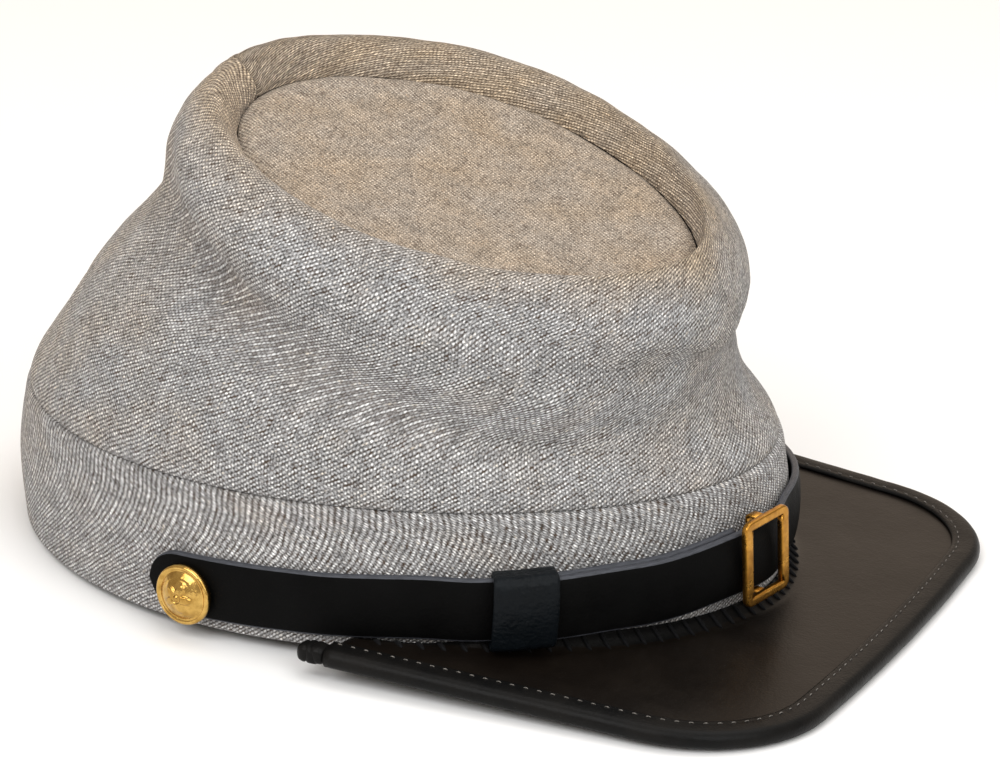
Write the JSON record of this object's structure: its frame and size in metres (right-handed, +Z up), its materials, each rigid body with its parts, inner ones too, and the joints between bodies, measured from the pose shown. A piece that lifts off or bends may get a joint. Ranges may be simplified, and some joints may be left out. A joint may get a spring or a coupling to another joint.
{
  "type": "kepi cap",
  "caption": "Soft cloth kepi cap with a sunken tip inside a rolled rim, a cloth band, a bound leather visor and a buckled leather chin strap on brass buttons.",
  "frame": {"origin": "on the ground under the middle of the cap's bounding box, as it rests on its hem and visor", "axes": "+Z up, the visor points to -Y, the wearer's right side is -X"},
  "size_m": [0.1896, 0.2426, 0.1194],
  "materials": {
    "cap_cloth": "matte grey wool and cotton twill, light and dark threads, tan flecks",
    "tip_cloth": "matte twill of the same cloth, browner and finer",
    "visor_leather": "smooth black leather, satin",
    "binding_leather": "thin black leather, satin, with a fine crease",
    "strap_leather": "black leather, semi-gloss, with bare grey-blue cut edges",
    "brass": "polished brass, slightly darkened in the recesses"
  },
  "bodies": {
    "root": {"crown_side_right": "cap_cloth", "crown_side_left": "cap_cloth", "crown_tip": "tip_cloth", "band": "cap_cloth", "visor": "visor_leather", "visor_binding": "binding_leather", "binding_end_right": "binding_leather", "binding_end_left": "binding_leather", "strap_right": "strap_leather", "strap_front": "strap_leather", "strap_keeper": "strap_leather", "buckle": "brass", "button_right": "brass", "button_left": "brass"}
  },
  "joints": []
}
